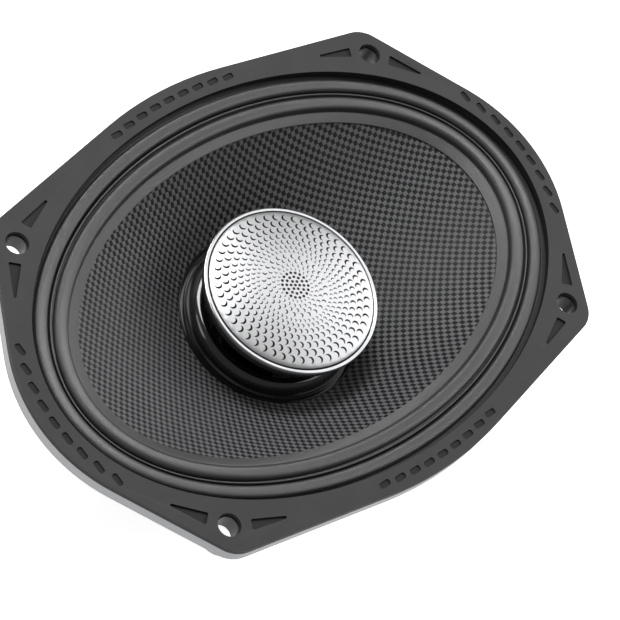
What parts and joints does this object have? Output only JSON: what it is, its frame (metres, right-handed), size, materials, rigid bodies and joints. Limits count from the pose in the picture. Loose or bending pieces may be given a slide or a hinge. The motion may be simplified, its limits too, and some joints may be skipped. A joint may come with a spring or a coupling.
{
  "type": "coaxial car speaker",
  "caption": "Oval coaxial car speaker: woven cone on a double roll surround in a cast basket, with a magnet motor and a central tweeter behind a domed perforated grille.",
  "frame": {"origin": "centre of the four mounting holes, on the plane where the ear bosses meet the panel", "axes": "+X along the oval's long axis, +Y along its short axis, +Z out of the front towards the listener"},
  "size_m": [0.2348, 0.1642, 0.0932],
  "materials": {
    "black_plastic": "fine texture",
    "boot_rubber": "matte moulded rubber",
    "brass_rivet": "bright",
    "bright_rim": "polished",
    "cable_sheath": "satin",
    "capacitor_film": "wrapped film",
    "cast_basket": "satin powder coat over cast alloy",
    "coil_former_alloy": "thin drawn foil",
    "copper_winding": "enamelled copper wire",
    "dome_film": "thin polymer film",
    "felt": "felt",
    "ferrite": "fired ferrite",
    "gasket_rubber": "matte moulded rubber",
    "gloss_dust_ring": "gloss",
    "neodymium": "nickel plated",
    "plated_steel": "zinc plated",
    "rivet_steel": "bright zinc",
    "satin_grille": "satin, perforated",
    "seal_foam": "closed-cell foam",
    "spider_cloth": "resin-set corrugated cloth",
    "surround_rubber": "satin ribbed rubber",
    "terminal_phenolic": "moulded board",
    "tinned_brass": "tinned",
    "tinsel_braid": "braided copper tinsel",
    "vent_mesh": "matte",
    "woven_cone": "plain weave, resin filled"
  },
  "bodies": {
    "frame": {"basket": "cast_basket", "board_screw": "rivet_steel", "capacitor_clip": "black_plastic", "crossover_capacitor": "capacitor_film", "ferrite_magnet": "ferrite", "front_gasket": "gasket_rubber", "magnet_boot": "boot_rubber", "negative_blade": "tinned_brass", "plate_rivets": "rivet_steel", "positive_blade": "tinned_brass", "post_nut": "rivet_steel", "post_washer": "rivet_steel", "rear_seal": "seal_foam", "spider": "spider_cloth", "surround": "surround_rubber", "terminal_board": "terminal_phenolic", "terminal_rivets": "brass_rivet", "tinsel_leads": "tinsel_braid", "top_plate": "plated_steel", "tweeter_cable": "cable_sheath", "tweeter_face_ring": "black_plastic", "tweeter_felt_pad": "felt", "tweeter_grille": "satin_grille", "tweeter_housing": "black_plastic", "tweeter_magnet": "neodymium", "tweeter_pole_plate": "plated_steel", "tweeter_post": "black_plastic", "tweeter_rim": "bright_rim", "tweeter_suspension": "dome_film", "tweeter_vent_ring": "vent_mesh", "tweeter_yoke": "plated_steel", "yoke": "plated_steel"},
    "cone": {"cone": "woven_cone", "dust_ring": "gloss_dust_ring", "coil_former": "coil_former_alloy", "voice_coil": "copper_winding", "lead_eyelets": "brass_rivet"},
    "tweeter_diaphragm": {"tweeter_dome": "dome_film", "tweeter_coil_former": "coil_former_alloy", "tweeter_coil": "copper_winding"}
  },
  "joints": [
    {"name": "cone_travel", "type": "slide", "parent": "frame", "child": "cone", "axis": [0, 0, 1], "range_m": [-0.006, 0.006], "stiffness_N_per_m": 2200, "deforming": ["surround", "spider", "tinsel_leads"]},
    {"name": "tweeter_travel", "type": "slide", "parent": "frame", "child": "tweeter_diaphragm", "axis": [0, 0, 1], "range_m": [-0.0003, 0.0003], "stiffness_N_per_m": 500, "deforming": ["tweeter_suspension"]}
  ]
}
